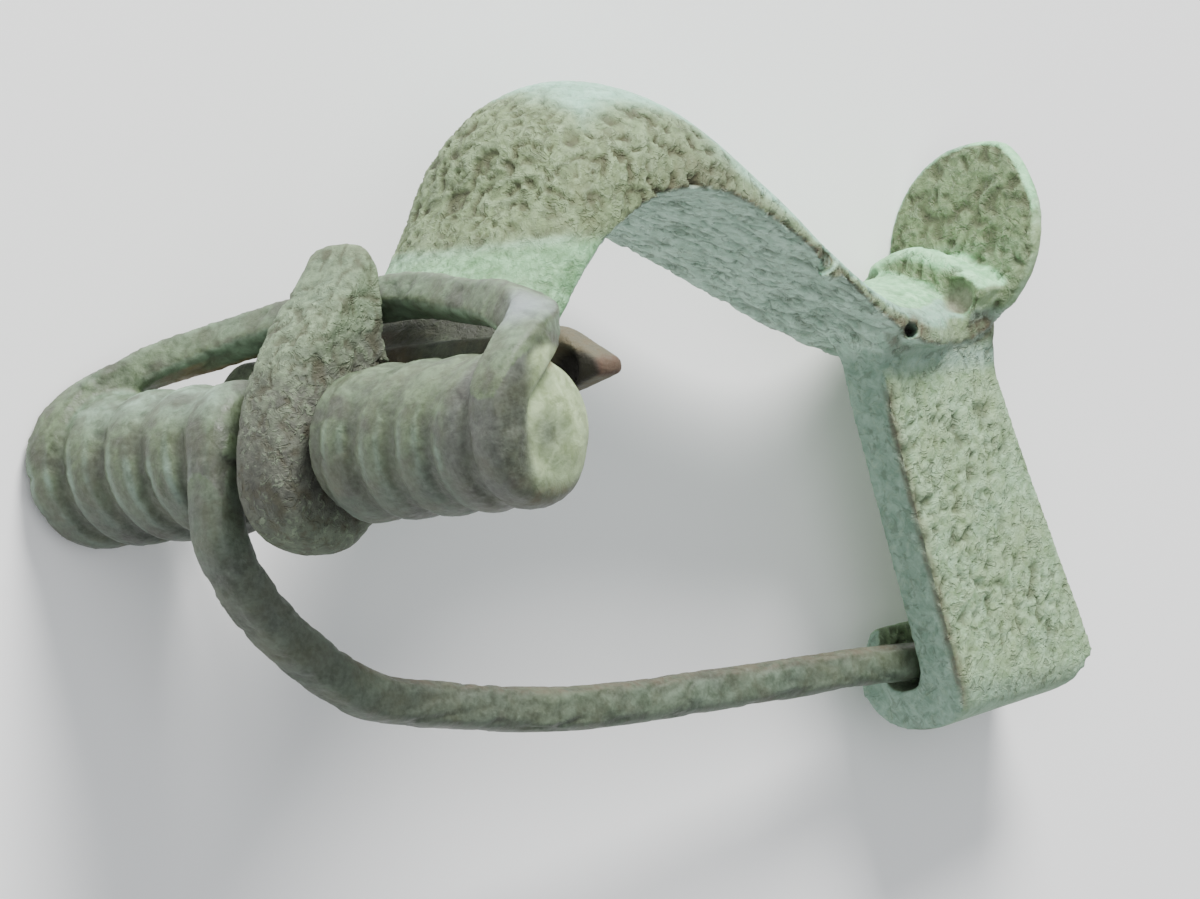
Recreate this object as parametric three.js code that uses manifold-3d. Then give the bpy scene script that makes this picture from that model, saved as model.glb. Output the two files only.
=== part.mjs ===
// A bow brooch in copper alloy: one cast bow with its head lug, side wings, foot disc and catch,
// and one wire that is pin, two-sided spring and chord in turn, round a thin rod.
// Millimetres. The brooch is built upright: +X from head to foot, +Y to its far side, +Z up from
// the spring's axis. The group at the end lays it down on its far side, as it rests when loose.
import * as THREE from 'three';
import { mergeVertices } from 'three/addons/utils/BufferGeometryUtils.js';
import Module from 'manifold-3d';

const wasm = await Module();
wasm.setup();

// Wire: one radius in the coils, tapering along the pin.
const WIRE_RADIUS = 1.04;
const CHORD_RADIUS = 0.84;
const PIN_TIP_RADIUS = 0.75;
const PIN_BEND_RADIUS = 1.08;
const WIRE_SIDES = 8;
const COIL_RADIUS = 2.25;
const COIL_STEPS_PER_TURN = 16;
const FAR_COIL_START = 3.9;
const FAR_COIL_PITCH = 2.5;
const FAR_COIL_TURNS = 4;
const NEAR_COIL_START = -12.9;
const NEAR_COIL_PITCH = 2.2;
const NEAR_COIL_TURNS = 4.5;

// Rod through the coils and the lug.
const ROD_RADIUS = 0.85;
const ROD_NEAR_END = -13.3;
const ROD_FAR_END = 14.2;
const ROD_HOLE_RADIUS = 1.2;

// Lug: the tongue in the middle of the spring, with the hook that the chord lies behind.
const LUG_WIDTH = 4.1;
const LUG_ROUNDING = 0.3;
const LUG_NEAR_CUT = 0.4;

// Side wings: the bar behind the spring.
const WING_FRONT = 3.62;
const WING_BACK = 5.2;

// Catch plate with its rolled edge.
const PLATE_NEAR_FACE = -1.3;
const PLATE_FAR_FACE = 1.0;

// Foot disc, round but for one corner on its near side.
const DISC_RADIUS = 4.45;
const DISC_CORNER = 0.3;
const DISC_CORNER_ANGLE = THREE.MathUtils.degToRad(64);
const DISC_THICKNESS = 0.9;
const DISC_CENTRE = new THREE.Vector3(42.2, 0.1, 6.75);
const DISC_LEAN = 0.25;
const DISC_SQUEEZE = 0.94;

// Collar in front of the disc.
const COLLAR_X = 40.6;
const COLLAR_HALF_THICKNESS = 0.95;
const COLLAR_BOTTOM = 2.4;

// Lying pose: rolled onto the far side, then tipped until coil end, lip and disc all touch.
const LYING_ROLL = THREE.MathUtils.degToRad(-94.53);
const LYING_TIP = THREE.MathUtils.degToRad(12.9);

// Turns a closed geometry into a solid that can be joined and cut.
function solid(geometry) {
  const bare = geometry.clone();
  bare.deleteAttribute('normal');
  bare.deleteAttribute('uv');
  const merged = mergeVertices(bare, 1e-4);
  const index = merged.index.array;
  const triangles = [];
  for (let i = 0; i < index.length; i += 3) {
    const [a, b, c] = [index[i], index[i + 1], index[i + 2]];
    if (a !== b && b !== c && c !== a) {
      triangles.push(a, b, c);
    }
  }
  const mesh = new wasm.Mesh({
    numProp: 3,
    vertProperties: new Float32Array(merged.attributes.position.array),
    triVerts: new Uint32Array(triangles),
  });
  return new wasm.Manifold(mesh);
}

// Turns a solid back into a geometry.
function geometryOf(manifold) {
  const mesh = manifold.getMesh();
  const geometry = new THREE.BufferGeometry();
  geometry.setAttribute('position', new THREE.BufferAttribute(new Float32Array(mesh.vertProperties), 3));
  geometry.setIndex(new THREE.BufferAttribute(new Uint32Array(mesh.triVerts), 1));
  geometry.computeVertexNormals();
  return geometry;
}

// Moves every point of a geometry by a function of its place.
function warp(geometry, place) {
  const position = geometry.attributes.position;
  const point = new THREE.Vector3();
  for (let i = 0; i < position.count; i += 1) {
    point.fromBufferAttribute(position, i);
    point.copy(place(point.x, point.y, point.z));
    position.setXYZ(i, point.x, point.y, point.z);
  }
  return geometry;
}

// A smooth value between stations spaced evenly from 0 to 1.
function along(values, t) {
  const curve = new THREE.CatmullRomCurve3(values.map((value) => new THREE.Vector3(value, 0, 0)));
  curve.curveType = 'catmullrom';
  return curve.getPoint(t).x;
}

// A round bar of changing radius along a smooth path, closed at both ends.
function bentRod(points, steps, sides, radiusAt) {
  const path = new THREE.CatmullRomCurve3(points, false, 'centripetal');
  path.arcLengthDivisions = points.length * 20;
  const frames = path.computeFrenetFrames(steps, false);
  const rod = new THREE.CylinderGeometry(1, 1, 1, sides, steps);
  return warp(rod, (x, y, z) => {
    const step = Math.round((0.5 + y) * steps);
    const radius = radiusAt(step / steps);
    return path
      .getPointAt(step / steps)
      .addScaledVector(frames.normals[step], x * radius)
      .addScaledVector(frames.binormals[step], -z * radius);
  });
}

// Keeps the end of the foot from standing out past the catch plate on the near side.
function cutNearSide(point, nearFace) {
  const limit = nearFace - 0.85 * THREE.MathUtils.clamp(point.z - 3.1, 0, 1.6);
  const cut = Math.max(point.y, limit);
  point.y = THREE.MathUtils.lerp(point.y, cut, THREE.MathUtils.smoothstep(point.x, 37.2, 39.2));
  return point;
}

// Bow: a thick humped band, rounded above and flat below, from the wings to the foot disc, where
// it rises on its far side.
function bowBand() {
  const under = new THREE.CatmullRomCurve3([
    new THREE.Vector3(4.9, 0, 1.2),
    new THREE.Vector3(7.3, 0, 2.5),
    new THREE.Vector3(9.5, 0, 4.3),
    new THREE.Vector3(11.5, 0, 6.5),
    new THREE.Vector3(13.7, 0, 8.2),
    new THREE.Vector3(16.6, 0, 9.35),
    new THREE.Vector3(20.2, 0, 9.35),
    new THREE.Vector3(24.4, 0, 7.75),
    new THREE.Vector3(28.6, 0, 5.5),
    new THREE.Vector3(32.5, 0, 3.3),
    new THREE.Vector3(36.0, 0, 2.0),
    new THREE.Vector3(39.0, 0, 2.0),
    new THREE.Vector3(42.2, 0, 2.4),
  ]);
  const ridge = new THREE.CatmullRomCurve3([
    new THREE.Vector3(4.4, 0, 3.7),
    new THREE.Vector3(5.8, 0, 5.3),
    new THREE.Vector3(8.1, 0, 7.5),
    new THREE.Vector3(10.0, 0, 9.9),
    new THREE.Vector3(11.6, 0, 12.9),
    new THREE.Vector3(14.9, 0, 14.75),
    new THREE.Vector3(19.2, 0, 14.2),
    new THREE.Vector3(24.5, 0, 10.35),
    new THREE.Vector3(28.6, 0, 6.95),
    new THREE.Vector3(32.7, 0, 4.8),
    new THREE.Vector3(36.2, 0, 3.75),
    new THREE.Vector3(39.2, 0, 3.6),
    new THREE.Vector3(42.0, 0, 3.7),
  ]);
  const halfWidths = [5.2, 5.4, 5.5, 5.5, 5.6, 5.6, 5.5, 5.0, 4.3, 3.5, 3.0, 2.8, 2.4];
  const farShifts = [0, 0, 0, 0, 0, 0, 0, 0, 0, 0.05, 0.3, 0.8, 1.3];
  const farRises = [0, 0, 0, 0, 0, 0, 0, 0, 0.1, 0.7, 1.9, 2.4, 2.4];
  const edgeShares = [0.3, 0.25, 0.2, 0.15, 0.12, 0.12, 0.16, 0.25, 0.35, 0.4, 0.4, 0.4, 0.4];
  const box = new THREE.BoxGeometry(1, 2, 1, 48, 12, 1);
  box.translate(0.5, 0, 0.5);
  return warp(box, (t, across, up) => {
    const edge = along(edgeShares, t);
    const rounding = edge + (1 - edge) * Math.sqrt(1 - across * across);
    const point = under.getPoint(t).lerp(ridge.getPoint(t), up * rounding);
    point.z += up * along(farRises, t) * (across + 1) / 2;
    point.y = across * along(halfWidths, t) + along(farShifts, t);
    return cutNearSide(point, -1.65);
  });
}

// Lug: its outline seen from the side, pushed through the middle of the spring.
function lug() {
  const outline = new THREE.Shape();
  outline.moveTo(2.9, 6.2);
  outline.splineThru([
    new THREE.Vector2(3.05, 7.5),
    new THREE.Vector2(2.3, 8.5),
    new THREE.Vector2(1.5, 7.6),
    new THREE.Vector2(0.6, 6.5),
    new THREE.Vector2(-0.9, 5.1),
    new THREE.Vector2(-2.1, 3.8),
    new THREE.Vector2(-3.2, 1.6),
    new THREE.Vector2(-3.7, -1.3),
    new THREE.Vector2(-2.9, -3.25),
    new THREE.Vector2(-1.2, -4.2),
    new THREE.Vector2(0.3, -4.3),
    new THREE.Vector2(1.6, -3.5),
    new THREE.Vector2(2.8, -2.0),
    new THREE.Vector2(4.4, 0.2),
  ]);
  outline.lineTo(4.4, 2.4);
  outline.lineTo(2.7, 2.6);
  outline.lineTo(2.5, 4.2);
  outline.lineTo(2.9, 5.0);
  const geometry = new THREE.ExtrudeGeometry(outline, {
    depth: LUG_WIDTH,
    steps: 6,
    bevelEnabled: false,
    curveSegments: 2,
  });
  geometry.translate(0, 0, -LUG_WIDTH / 2);
  geometry.rotateX(Math.PI / 2);
  return warp(geometry, (x, y, z) => {
    const sideways = Math.abs(y) * 2 / LUG_WIDTH;
    const spine = 0.28 * Math.max(0, z);
    const rounded = x < spine ? THREE.MathUtils.lerp(x, spine, LUG_ROUNDING * sideways ** 4) : x;
    const narrowing = 1 - 0.08 * Math.max(0, z - 6);
    const cut = LUG_NEAR_CUT * (1 - THREE.MathUtils.smoothstep(z, 3.5, 5.0));
    const reach = y < 0 ? y * narrowing + cut * sideways : y * narrowing;
    return new THREE.Vector3(rounded, reach, z);
  });
}

// Wings: a bar behind the spring that narrows to a blunt tongue on each side.
function wings() {
  const yStations = [-13.1, -12.0, -10.2, -7, 0, 6.5, 8.5, 9.7, 11.3];
  const tops = [2.5, 3.2, 4.1, 4.0, 4.0, 4.0, 4.0, 3.1, 1.9];
  const bottoms = [1.9, 1.6, 1.2, 0.9, 0.8, 0.9, 1.0, 1.1, 1.2];
  const box = new THREE.BoxGeometry(1, 1, 1, 2, 24, 2);
  box.translate(0.5, 0.5, 0.5);
  return warp(box, (x, t, z) => {
    const corner = Math.abs((x - 0.5) * (z - 0.5)) * 4;
    const inset = corner > 0.9 ? 0.25 : 0;
    const depth = THREE.MathUtils.lerp(WING_FRONT, WING_BACK, x) - Math.sign(x - 0.5) * inset;
    const height = THREE.MathUtils.lerp(along(bottoms, t), along(tops, t), z);
    return new THREE.Vector3(depth, along(yStations, t), height - Math.sign(z - 0.5) * inset);
  });
}

// Catch plate: an upright plate whose lower edge rolls up on the far side into a trough.
function catchPlate() {
  const section = new THREE.Shape();
  const levels = [3.2, 2.4, 1.6, 0.8, -1, -5, -9, -12];
  section.moveTo(PLATE_NEAR_FACE, levels[0]);
  for (const level of levels) {
    section.lineTo(PLATE_NEAR_FACE, level);
  }
  section.lineTo(PLATE_NEAR_FACE, -13.6);
  section.splineThru([
    new THREE.Vector2(-0.9, -14.6),
    new THREE.Vector2(0.2, -15.1),
    new THREE.Vector2(2.2, -15.3),
    new THREE.Vector2(4.0, -14.7),
    new THREE.Vector2(4.9, -13.3),
    new THREE.Vector2(4.6, -10.8),
  ]);
  section.lineTo(3.8, -10.5);
  section.splineThru([
    new THREE.Vector2(3.65, -12.4),
    new THREE.Vector2(3.1, -13.2),
    new THREE.Vector2(2.2, -13.45),
    new THREE.Vector2(1.3, -13.1),
  ]);
  for (const level of levels.reverse()) {
    section.lineTo(PLATE_FAR_FACE, level);
  }
  const slab = new THREE.ExtrudeGeometry(section, {
    depth: 1,
    steps: 6,
    bevelEnabled: false,
    curveSegments: 2,
  });
  return warp(slab, (y, z, t) => {
    const drop = Math.max(0, -z);
    const lipCut = y > 3.2 ? 0.45 * Math.max(0, z + 13.2) : 0;
    const fillet = 0.16 * Math.max(0, z) ** 2;
    const front = 34.35 + 0.24 * Math.max(0, drop - 1) + lipCut - fillet;
    const corner = Math.max(0, drop - 12.9);
    const rear = 41.9 + 0.36 * drop - 0.55 * corner * corner;
    const rise = 0.055 * drop * t;
    const x = THREE.MathUtils.lerp(front, rear, t);
    const flareReach = 1.1 - 0.9 * THREE.MathUtils.smoothstep(x, 36, 40);
    const flare = flareReach * THREE.MathUtils.smoothstep(z, 0.6, 2.6) ** 2;
    return new THREE.Vector3(x, y < 0 ? y - flare : y, z + rise);
  });
}

// Foot disc, set across the end of the foot and facing the head.
function footDisc() {
  const disc = new THREE.CylinderGeometry(DISC_RADIUS, DISC_RADIUS, DISC_THICKNESS, 36, 1);
  disc.rotateZ(Math.PI / 2);
  warp(disc, (x, y, z) => {
    const away = Math.abs(Math.atan2(z, -y) - DISC_CORNER_ANGLE);
    const corner = 1 + DISC_CORNER / DISC_RADIUS * Math.max(0, 1 - away / 0.5);
    return new THREE.Vector3(x, y * corner * DISC_SQUEEZE, z * corner);
  });
  disc.rotateY(DISC_LEAN);
  disc.translate(DISC_CENTRE.x, DISC_CENTRE.y, DISC_CENTRE.z);
  return disc;
}

// Collar: the moulding across the foot in front of the disc, a rounded wall that is highest on
// the far side.
function collar() {
  const crest = new THREE.CatmullRomCurve3([
    new THREE.Vector3(0, -3.1, 4.1),
    new THREE.Vector3(0, -2.6, 4.7),
    new THREE.Vector3(0, -1.5, 5.4),
    new THREE.Vector3(0, -0.1, 6.1),
    new THREE.Vector3(0, 1.7, 6.6),
    new THREE.Vector3(0, 3.2, 6.4),
    new THREE.Vector3(0, 4.2, 6.0),
    new THREE.Vector3(0, 4.6, 5.2),
  ]);
  const wall = new THREE.CylinderGeometry(1, 1, 1, 14, 14);
  return warp(wall, (x, t, z) => {
    const top = crest.getPoint(0.5 + t);
    const squareness = 1 / Math.max(0.5, (Math.abs(x) ** 2.6 + Math.abs(z) ** 2.6) ** (1 / 2.6));
    const middle = (top.z + COLLAR_BOTTOM) / 2;
    const height = middle + (top.z - COLLAR_BOTTOM) / 2 * squareness * z;
    const depth = COLLAR_X + COLLAR_HALF_THICKNESS * squareness * x;
    return cutNearSide(new THREE.Vector3(depth, top.y, height), -1.8);
  });
}

function bowGeometry() {
  const rodHole = new THREE.CylinderGeometry(ROD_HOLE_RADIUS, ROD_HOLE_RADIUS, 2 * LUG_WIDTH, 16);
  const pierced = solid(lug()).subtract(solid(rodHole));
  const bow = [bowBand(), wings(), catchPlate(), footDisc(), collar()]
    .map(solid)
    .reduce((whole, next) => whole.add(next), pierced);
  return geometryOf(bow);
}

// One turn after another round the rod, starting at the front; turn is +1 over the top first.
function coilPoints(startY, pitch, turnCount, turn) {
  const points = [];
  for (let i = 0; i <= turnCount * COIL_STEPS_PER_TURN; i += 1) {
    const turns = i / COIL_STEPS_PER_TURN;
    const angle = Math.PI - turn * 2 * Math.PI * turns;
    points.push(new THREE.Vector3(
      COIL_RADIUS * Math.cos(angle),
      startY + pitch * turns,
      COIL_RADIUS * Math.sin(angle),
    ));
  }
  return points;
}

// Pin, from its tip in the catch back to the front of the spring.
const PIN_POINTS = [
  new THREE.Vector3(44.0, 2.3, -12.2),
  new THREE.Vector3(34.8, 2.5, -12.1),
  new THREE.Vector3(25.6, 2.8, -12.25),
  new THREE.Vector3(16.2, 3.15, -12.2),
  new THREE.Vector3(9.4, 3.45, -11.4),
  new THREE.Vector3(4.85, 3.6, -10.5),
  new THREE.Vector3(1.3, 3.7, -8.3),
  new THREE.Vector3(-1.3, 3.75, -5.7),
  new THREE.Vector3(-2.5, 3.8, -3.2),
];

// Chord, from the far end of the spring, behind the lug, to the near end.
const CHORD_POINTS = [
  new THREE.Vector3(-2.25, 13.9, 0),
  new THREE.Vector3(-1.95, 13.9, 1.6),
  new THREE.Vector3(-0.6, 13.3, 3.1),
  new THREE.Vector3(1.4, 11.6, 4.15),
  new THREE.Vector3(3.5, 8.0, 5.05),
  new THREE.Vector3(4.35, 3.0, 5.8),
  new THREE.Vector3(4.35, -2.1, 6.05),
  new THREE.Vector3(3.3, -6.4, 5.5),
  new THREE.Vector3(2.2, -10.0, 4.95),
  new THREE.Vector3(0.9, -12.3, 4.1),
  new THREE.Vector3(-0.8, -13.1, 3.1),
  new THREE.Vector3(-2.1, -13.05, 1.6),
  new THREE.Vector3(-2.25, -12.9, 0),
];

function springGeometry() {
  const farCoil = coilPoints(FAR_COIL_START, FAR_COIL_PITCH, FAR_COIL_TURNS, 1);
  const nearCoil = coilPoints(NEAR_COIL_START, NEAR_COIL_PITCH, NEAR_COIL_TURNS, -1);
  const pin = bentRod(PIN_POINTS.concat(farCoil.slice(0, 2)), 40, WIRE_SIDES, (t) => (
    THREE.MathUtils.lerp(PIN_TIP_RADIUS, PIN_BEND_RADIUS, Math.sqrt(t))
  ));
  const chord = bentRod(CHORD_POINTS, 40, WIRE_SIDES, (t) => {
    const thinning = THREE.MathUtils.smoothstep(t, 0, 0.12) - THREE.MathUtils.smoothstep(t, 0.65, 0.78);
    return THREE.MathUtils.lerp(WIRE_RADIUS, CHORD_RADIUS, thinning);
  });
  const far = bentRod(farCoil, farCoil.length - 1, WIRE_SIDES, () => WIRE_RADIUS);
  const near = bentRod(nearCoil, nearCoil.length - 1, WIRE_SIDES, () => WIRE_RADIUS);
  const wire = [far, near, chord].map(solid).reduce((whole, next) => whole.add(next), solid(pin));
  return geometryOf(wire);
}

function rodGeometry() {
  const length = ROD_FAR_END - ROD_NEAR_END;
  const rod = new THREE.CapsuleGeometry(ROD_RADIUS, length - 2 * ROD_RADIUS, 3, 12);
  rod.translate(0, (ROD_FAR_END + ROD_NEAR_END) / 2, 0);
  return geometryOf(solid(rod));
}

function piece(name, geometry, color, roughness, metalness) {
  const material = new THREE.MeshStandardMaterial({ color, roughness, metalness });
  const mesh = new THREE.Mesh(geometry, material);
  mesh.name = name;
  return mesh;
}

const brooch = new THREE.Group();
brooch.add(piece('bow', bowGeometry(), 0x9aab93, 0.8, 0.2));
brooch.add(piece('spring_and_pin', springGeometry(), 0x6f7c70, 0.75, 0.25));
brooch.add(piece('axis_rod', rodGeometry(), 0xa8a97c, 0.8, 0.2));

brooch.rotation.set(LYING_ROLL, LYING_TIP, 0, 'YXZ');
const reach = new THREE.Box3().setFromObject(brooch, true);
brooch.position.set(
  -(reach.min.x + reach.max.x) / 2,
  -(reach.min.y + reach.max.y) / 2,
  -reach.min.z,
);

const group = new THREE.Group();
group.add(brooch);

export default group;
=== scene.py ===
import math

import bpy
import numpy as np
from mathutils import Euler, Matrix, Vector


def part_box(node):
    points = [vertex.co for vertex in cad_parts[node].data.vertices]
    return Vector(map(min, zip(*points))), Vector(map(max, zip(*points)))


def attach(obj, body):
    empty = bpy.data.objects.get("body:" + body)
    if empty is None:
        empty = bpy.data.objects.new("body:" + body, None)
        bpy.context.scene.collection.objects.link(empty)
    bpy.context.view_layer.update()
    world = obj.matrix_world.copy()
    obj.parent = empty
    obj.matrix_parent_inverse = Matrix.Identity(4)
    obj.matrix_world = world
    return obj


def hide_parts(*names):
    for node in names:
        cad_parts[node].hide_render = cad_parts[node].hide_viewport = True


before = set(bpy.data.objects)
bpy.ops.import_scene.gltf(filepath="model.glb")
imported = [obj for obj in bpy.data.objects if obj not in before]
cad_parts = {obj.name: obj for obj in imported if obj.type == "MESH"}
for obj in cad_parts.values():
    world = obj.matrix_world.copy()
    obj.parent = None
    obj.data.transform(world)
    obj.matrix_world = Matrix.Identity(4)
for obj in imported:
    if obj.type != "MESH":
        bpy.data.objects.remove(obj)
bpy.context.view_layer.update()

MM = 0.001

# The brooch is modelled upright, in millimetres: +X from head to foot, +Y to its far side and
# +Z up, from the middle of the spring's axis. One matrix lays it down where the CAD lies.
ON_ITS_SIDE = Euler((math.radians(-94.53), 0, 0)).to_matrix()
LYING = Euler((0, math.radians(12.9), 0)).to_matrix() @ ON_ITS_SIDE
ROD_MIDDLE = Vector((0, 0.45, 0))
rod_low, rod_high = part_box("axis_rod")
rod_centre = (Vector(rod_low) + Vector(rod_high)) / 2
SPRING_CENTRE = rod_centre - LYING @ (ROD_MIDDLE * MM)
TO_ROW = Matrix.Translation(SPRING_CENTRE) @ LYING.to_4x4()


# ---------------------------------------------------------------- camera and light

# The camera looks level at the upright brooch, from beyond its head on the near side.
VIEW_TURN = math.radians(46)
VIEW_ROLL = math.radians(5.7)
VIEW_DISTANCE = 320.0
VIEW_RIGHT, VIEW_UP = 11.75, 0.0208
SENSOR_WIDTH, LENS = 36, 230.4
LIGHT_AIM = Vector((0.018, 0, 0))


def make_camera():
    back = Vector((-math.sin(VIEW_TURN), -math.cos(VIEW_TURN), 0))
    level = Vector((math.cos(VIEW_TURN), -math.sin(VIEW_TURN), 0))
    rise = Vector((0, 0, 1))
    right = level * math.cos(VIEW_ROLL) - rise * math.sin(VIEW_ROLL)
    up = level * math.sin(VIEW_ROLL) + rise * math.cos(VIEW_ROLL)
    place = right * VIEW_RIGHT + up * VIEW_UP + back * VIEW_DISTANCE
    turned = Matrix((right, up, back)).transposed()
    data = bpy.data.cameras.new("camera")
    data.sensor_width = SENSOR_WIDTH
    data.lens = LENS
    data.clip_start = 0.01
    data.clip_end = 10
    camera = bpy.data.objects.new("camera", data)
    bpy.context.collection.objects.link(camera)
    camera.matrix_world = TO_ROW @ Matrix.Translation(place * MM) @ turned.to_4x4()
    bpy.context.scene.camera = camera
    return camera


def area_light(name, direction, distance, size, energy, colour):
    """A round lamp that shines on the brooch from that direction of the upright brooch."""
    data = bpy.data.lights.new(name, "AREA")
    data.shape = "DISK"
    data.size = size
    data.energy = energy
    data.color = colour
    lamp = bpy.data.objects.new(name, data)
    bpy.context.collection.objects.link(lamp)
    toward = (LYING @ Vector(direction)).normalized()
    lamp.location = SPRING_CENTRE + LIGHT_AIM + toward * distance
    lamp.rotation_euler = toward.to_track_quat("Z", "Y").to_euler()


camera_turn = LYING.inverted() @ make_camera().matrix_world.to_3x3()
right_way, up_way, back_way = (camera_turn.col[k] for k in range(3))
area_light("key", right_way * 0.3 + up_way * 0.9 + back_way * 0.45,
           distance=0.5, size=0.2, energy=5.4, colour=(1.0, 0.99, 0.97))
area_light("fill", right_way * 0.2 + up_way * 0.1 + back_way * 1.0,
           distance=0.7, size=0.6, energy=1.6, colour=(0.97, 0.99, 1.0))

world = bpy.data.worlds.new("studio")
world.use_nodes = True
sky = world.node_tree.nodes["Background"]
sky.inputs["Color"].default_value = (0.93, 0.96, 1.0, 1)
sky.inputs["Strength"].default_value = 0.55
bpy.context.scene.world = world

# ---------------------------------------------------------------- noise on points

NOISE_GAIN = 1.35


def hashed(cell, seed):
    """A whole number of 32 bits for each cell of a grid, spread evenly by large odd factors."""
    x, y, z = cell[..., 0], cell[..., 1], cell[..., 2]
    h = (x * 73856093) ^ (y * 19349663) ^ (z * 83492791) ^ (seed * 1013904223)
    h = h & 0xFFFFFFFF
    h = ((h ^ (h >> 15)) * 2246822519) & 0xFFFFFFFF
    h = ((h ^ (h >> 13)) * 3266489917) & 0xFFFFFFFF
    return (h ^ (h >> 16)) & 0xFFFFFFFF


def noise(points, size, seed):
    """Smooth noise between about -1 and 1, with features of that size."""
    q = points / size
    cell = np.floor(q).astype(np.int64)
    f = q - cell
    w = f * f * f * (f * (f * 6 - 15) + 10)
    total = np.zeros(len(points))
    for corner in np.ndindex(2, 2, 2):
        corner = np.array(corner)
        h = hashed(cell + corner, seed)
        # Ten bits each for X, Y and Z, brought to -1 to 1.
        bits = np.stack([h & 1023, (h >> 10) & 1023, (h >> 20) & 1023], -1)
        gradient = bits / 511.5 - 1
        share = np.prod(np.where(corner == 1, w, 1 - w), axis=1)
        total += share * np.sum(gradient * (f - corner), axis=1)
    return np.clip(total * NOISE_GAIN, -1, 1)


def layers(points, size, seed, count=3):
    """Noise on several scales, each half the size and half the height of the one before."""
    total = np.zeros(len(points))
    for k in range(count):
        total += noise(points, size / 2 ** k, seed + k) / 2 ** k
    return total / (2 - 2.0 ** (1 - count))


def step(low, high, value):
    """Rises smoothly from 0 at low to 1 at high; low may be the larger of the two."""
    t = np.clip((value - low) / (high - low), 0, 1)
    return t * t * (3 - 2 * t)


def worms(points, size, seed, width=0.16):
    """Short winding grooves: 1 in the middle of a groove and 0 away from it."""
    bend = np.stack([noise(points, size * 1.3, seed + k) for k in (11, 12, 13)], -1)
    line = noise(points + bend * size * 0.9, size, seed)
    gaps = step(-0.25, 0.15, noise(points, size * 1.1, seed + 21))
    return np.clip(1 - np.abs(line) / width, 0, 1) * gaps


def crust(points, size, seed):
    """A net of raised winding ridges and the pits between them, both from 0 to 1."""
    bend = np.stack([noise(points, size * 1.2, seed + k) for k in (1, 2, 3)], -1)
    moved = points + bend * size * 0.8
    ridges = np.clip(1 - np.abs(noise(moved, size, seed)) / 0.24, 0, 1)
    pits = step(0.08, 0.4, noise(moved, size * 0.9, seed + 7))
    return ridges * (1 - pits), pits


# ---------------------------------------------------------------- curves and closed shapes

def spline(points, t, even=False):
    """A smooth curve through the points; t runs from 0 to 1 over equal shares of the points.

    even suits plain numbers; otherwise the curve allows for the distances between the points.
    """
    points = np.asarray(points, float)
    if points.ndim == 1:
        points = points[:, None]
    count = len(points)
    ends = np.vstack([2 * points[0] - points[1], points, 2 * points[-1] - points[-2]])
    s = np.clip(np.asarray(t, float), 0, 1) * (count - 1)
    k = np.minimum(s.astype(int), count - 2)
    u = (s - k)[:, None]
    p0, p1, p2, p3 = ends[k], ends[k + 1], ends[k + 2], ends[k + 3]
    if even:
        a, b = (p2 - p0) / 2, (p3 - p1) / 2
    else:
        steps = (p1 - p0, p2 - p1, p3 - p2)
        d = [np.sqrt(np.linalg.norm(way, axis=1, keepdims=True)) for way in steps]
        a = ((p1 - p0) / d[0] - (p2 - p0) / (d[0] + d[1]) + (p2 - p1) / d[1]) * d[1]
        b = ((p2 - p1) / d[1] - (p3 - p1) / (d[1] + d[2]) + (p3 - p2) / d[2]) * d[1]
    c2 = -3 * p1 + 3 * p2 - 2 * a - b
    c3 = 2 * p1 - 2 * p2 + a + b
    return p1 + a * u + c2 * u ** 2 + c3 * u ** 3


def along(values, t):
    return spline(values, t, even=True)[:, 0]


def even_path(points, count):
    """Points at even distances along a smooth curve."""
    dense = spline(points, np.linspace(0, 1, 60 * len(points)))
    length = np.concatenate([[0], np.cumsum(np.linalg.norm(np.diff(dense, axis=0), axis=1))])
    wanted = np.linspace(0, length[-1], count)
    return np.stack([np.interp(wanted, length, dense[:, k]) for k in range(3)], -1)


def rings_to_faces(ring_count, ring_size):
    """Faces of a tube made of rings, with both ends closed."""
    faces = []
    for i in range(ring_count - 1):
        for j in range(ring_size):
            a = i * ring_size + j
            b = i * ring_size + (j + 1) % ring_size
            faces.append((a, b, b + ring_size, a + ring_size))
    faces.append(tuple(range(ring_size))[::-1])
    faces.append(tuple((ring_count - 1) * ring_size + j for j in range(ring_size)))
    return faces


def loft(rings):
    """A closed shape through rings of points."""
    rings = np.asarray(rings, float)
    return rings.reshape(-1, 3), rings_to_faces(rings.shape[0], rings.shape[1])


def reach_of(angle, square):
    """How far a section reaches at an angle, next to a circle's 1: square 2 is round."""
    c, s = np.cos(angle), np.sin(angle)
    return (np.abs(c) ** square + np.abs(s) ** square) ** (-1 / square)


def tube(path, radius, outward, square=2.0, sides=28, flat=1.0):
    """A bar along a path. square 2 is round and more is squarer; outward gives its section's top."""
    path = np.asarray(path, float)
    tangent = np.gradient(path, axis=0)
    tangent /= np.linalg.norm(tangent, axis=1, keepdims=True)
    outward = np.asarray(outward, float) * np.ones_like(path)
    side = np.cross(tangent, outward)
    side /= np.linalg.norm(side, axis=1, keepdims=True)
    top = np.cross(side, tangent)
    angle = np.linspace(0, 2 * np.pi, sides, endpoint=False)
    reach = reach_of(angle, square)
    radius = np.broadcast_to(np.asarray(radius, float), (len(path),))
    across = (reach * np.cos(angle))[None, :, None] * radius[:, None, None]
    upward = (reach * np.sin(angle) * flat)[None, :, None] * radius[:, None, None]
    return loft(path[:, None, :] + side[:, None, :] * across + top[:, None, :] * upward)


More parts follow.
